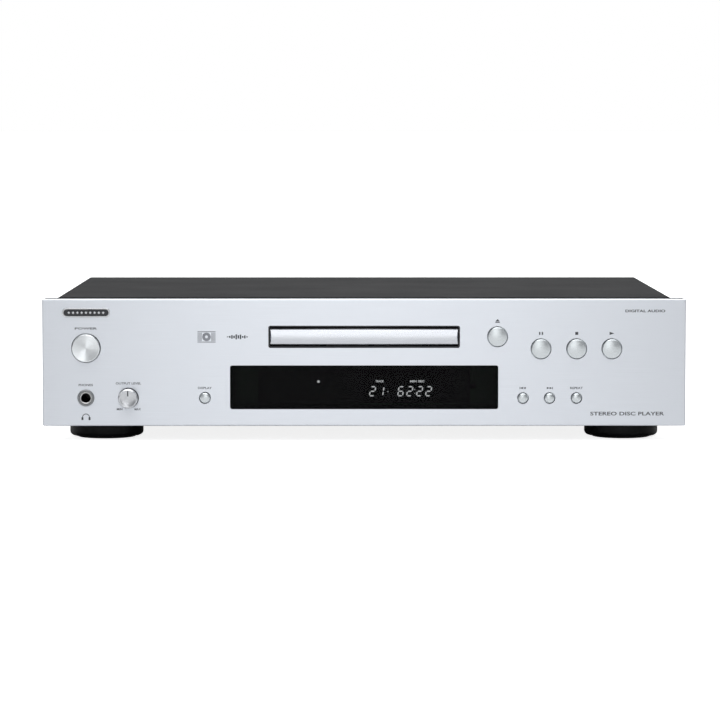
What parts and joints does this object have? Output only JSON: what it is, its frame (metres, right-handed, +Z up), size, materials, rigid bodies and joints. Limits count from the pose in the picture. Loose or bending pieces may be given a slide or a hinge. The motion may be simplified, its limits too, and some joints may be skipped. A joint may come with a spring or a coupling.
{
  "type": "cd player",
  "caption": "Full-width hi-fi compact disc player with a silver front, central motorised tray, dark display window, round push buttons, headphone socket and level knob, on round feet.",
  "frame": {"origin": "on the resting surface, midway across and midway between the foremost and rearmost points", "axes": "+X to the right-hand end seen from the front, +Y to the rear, +Z up"},
  "size_m": [0.435, 0.316, 0.0965],
  "materials": {
    "face_aluminium": "satin anodised, very fine horizontal grain",
    "frame_plastic": "moulded, fine texture",
    "badge_metal": "polished edge, dark field",
    "smoked_window": "polished smoked acrylic",
    "tube_glass": "polished",
    "circuit_board": "solder resist",
    "switch_plastic": "moulded",
    "socket_plastic": "moulded",
    "ring_metal": "polished",
    "button_metal": "satin, turned face",
    "knob_metal": "turned face, satin side",
    "shaft_steel": "ground",
    "cover_paint": "fine textured powder coat",
    "chassis_steel": "zinc plated",
    "panel_paint": "satin black paint",
    "foot_plastic": "moulded, fine texture",
    "pad_rubber": "matt",
    "screw_black": "black oxide",
    "core_steel": "varnished laminations",
    "coil_tape": "polyester tape",
    "component_black": "sleeved",
    "cable_white": "flat cable",
    "sleeve_metal": "gold plated",
    "pin_metal": "nickel plated",
    "loader_plastic": "moulded",
    "tray_plastic": "moulded, fine texture",
    "tray_aluminium": "satin anodised",
    "gear_plastic": "moulded",
    "clamper_plastic": "moulded",
    "motor_steel": "plated can",
    "belt_rubber": "matt",
    "deck_plastic": "moulded",
    "sled_plastic": "moulded",
    "lens_glass": "coated lens"
  },
  "bodies": {
    "case": {"front_panel": "face_aluminium", "front_frame": "frame_plastic", "name_badge": "badge_metal", "display_window": "smoked_window", "display_tube": "tube_glass", "front_board": "circuit_board", "tact_switches": "switch_plastic", "phones_jack": "socket_plastic", "phones_ring": "ring_metal", "level_pot": "switch_plastic", "top_cover": "cover_paint", "bottom_chassis": "chassis_steel", "rear_panel": "panel_paint", "feet": "foot_plastic", "foot_pads": "pad_rubber", "cover_screws": "screw_black", "panel_screws": "screw_black", "floor_screws": "screw_black", "transformer_core": "core_steel", "transformer_coil": "coil_tape", "power_board": "circuit_board", "main_board": "circuit_board", "board_components": "component_black", "ribbon_cables": "cable_white", "socket_block": "socket_plastic", "phono_shells": "sleeve_metal", "remote_jacks": "socket_plastic", "mains_inlet": "socket_plastic", "inlet_pins": "pin_metal", "loader_frame": "loader_plastic", "clamper_bridge": "chassis_steel", "loading_motor": "motor_steel", "drive_belt": "belt_rubber"},
    "tray": {"disc_tray": "tray_plastic", "tray_front": "tray_aluminium"},
    "tray_gear": {"tray_gear": "gear_plastic"},
    "pulley_gear": {"pulley_gear": "gear_plastic"},
    "motor_pulley": {"motor_pulley": "pin_metal"},
    "clamper": {"clamper": "clamper_plastic"},
    "cam_slider": {"cam_slider": "gear_plastic"},
    "deck": {"traverse_deck": "deck_plastic", "sled_rails": "shaft_steel", "spindle_motor": "motor_steel", "sled_motor": "motor_steel"},
    "turntable": {"turntable": "deck_plastic"},
    "pickup": {"pickup_sled": "sled_plastic", "pickup_lens": "lens_glass"},
    "sled_gear": {"sled_gear": "gear_plastic"},
    "sled_pinion": {"sled_pinion": "pin_metal"},
    "knob": {"level_knob": "knob_metal", "pot_shaft": "shaft_steel"},
    "power_button": {"power_button": "button_metal"},
    "display_button": {"display_button": "button_metal"},
    "eject_button": {"eject_button": "button_metal"},
    "pause_button": {"pause_button": "button_metal"},
    "stop_button": {"stop_button": "button_metal"},
    "play_button": {"play_button": "button_metal"},
    "previous_button": {"previous_button": "button_metal"},
    "next_button": {"next_button": "button_metal"},
    "repeat_button": {"repeat_button": "button_metal"}
  },
  "joints": [
    {"name": "tray_slide", "type": "slide", "parent": "case", "child": "tray", "axis": [0, -1, 0], "range_m": [0, 0.138]},
    {"name": "tray_gear_spin", "type": "hinge", "parent": "case", "child": "tray_gear", "pos_m": [-0.047, -0.1, 0.0656], "axis": [0, 0, 1], "range_deg": [-5, 885]},
    {"name": "pulley_gear_spin", "type": "hinge", "parent": "case", "child": "pulley_gear", "pos_m": [-0.044, -0.08632, 0.0656], "axis": [0, 0, 1], "range_deg": [-1590, 5]},
    {"name": "motor_pulley_spin", "type": "hinge", "parent": "case", "child": "motor_pulley", "pos_m": [-0.044, -0.058, 0.0562], "axis": [0, 0, 1], "range_deg": [-5290, 10]},
    {"name": "deck_lift", "type": "hinge", "parent": "case", "child": "deck", "pos_m": [0, 0.02, 0.061], "axis": [1, 0, 0], "range_deg": [0, 4.5]},
    {"name": "cam_slide", "type": "slide", "parent": "case", "child": "cam_slider", "axis": [1, 0, 0], "range_m": [0, 0.0101]},
    {"name": "turntable_spin", "type": "hinge", "parent": "deck", "child": "turntable", "pos_m": [0, -0.075, 0.0743], "axis": [0, 0, 1], "continuous": true},
    {"name": "clamper_spin", "type": "hinge", "parent": "case", "child": "clamper", "pos_m": [0, -0.075, 0.08], "axis": [0, 0, 1], "continuous": true},
    {"name": "pickup_slide", "type": "slide", "parent": "deck", "child": "pickup", "axis": [0, 1, 0], "range_m": [0, 0.033]},
    {"name": "sled_gear_spin", "type": "hinge", "parent": "deck", "child": "sled_gear", "pos_m": [0.0312, -0.031, 0.0615], "axis": [0, 0, 1], "range_deg": [-476, 3]},
    {"name": "sled_pinion_spin", "type": "hinge", "parent": "deck", "child": "sled_pinion", "pos_m": [0.0312, -0.0198, 0.058], "axis": [0, 0, 1], "range_deg": [-6, 1190]},
    {"name": "level_turn", "type": "hinge", "parent": "case", "child": "knob", "pos_m": [-0.1594, -0.15, 0.0295], "axis": [0, 1, 0], "range_deg": [-150, 150]},
    {"name": "power_press", "type": "slide", "parent": "case", "child": "power_button", "axis": [0, 1, 0], "range_m": [0, 0.001], "stiffness_N_per_m": 800},
    {"name": "display_press", "type": "slide", "parent": "case", "child": "display_button", "axis": [0, 1, 0], "range_m": [0, 0.0007], "stiffness_N_per_m": 800},
    {"name": "eject_press", "type": "slide", "parent": "case", "child": "eject_button", "axis": [0, 1, 0], "range_m": [0, 0.0007], "stiffness_N_per_m": 800},
    {"name": "pause_press", "type": "slide", "parent": "case", "child": "pause_button", "axis": [0, 1, 0], "range_m": [0, 0.0007], "stiffness_N_per_m": 800},
    {"name": "stop_press", "type": "slide", "parent": "case", "child": "stop_button", "axis": [0, 1, 0], "range_m": [0, 0.0007], "stiffness_N_per_m": 800},
    {"name": "play_press", "type": "slide", "parent": "case", "child": "play_button", "axis": [0, 1, 0], "range_m": [0, 0.0007], "stiffness_N_per_m": 800},
    {"name": "previous_press", "type": "slide", "parent": "case", "child": "previous_button", "axis": [0, 1, 0], "range_m": [0, 0.0007], "stiffness_N_per_m": 800},
    {"name": "next_press", "type": "slide", "parent": "case", "child": "next_button", "axis": [0, 1, 0], "range_m": [0, 0.0007], "stiffness_N_per_m": 800},
    {"name": "repeat_press", "type": "slide", "parent": "case", "child": "repeat_button", "axis": [0, 1, 0], "range_m": [0, 0.0007], "stiffness_N_per_m": 800}
  ],
  "couplings": [
    {"joint": "tray_gear_spin", "follows": "tray_slide", "rad_per_m": 111.11},
    {"joint": "pulley_gear_spin", "follows": "tray_slide", "rad_per_m": -200},
    {"joint": "motor_pulley_spin", "follows": "tray_slide", "rad_per_m": -666.67},
    {"joint": "cam_slide", "follows": "deck_lift", "m_per_rad": 0.128},
    {"joint": "clamper_spin", "follows": "turntable_spin", "ratio": 1},
    {"joint": "sled_gear_spin", "follows": "pickup_slide", "rad_per_m": -250},
    {"joint": "sled_pinion_spin", "follows": "pickup_slide", "rad_per_m": 625}
  ]
}
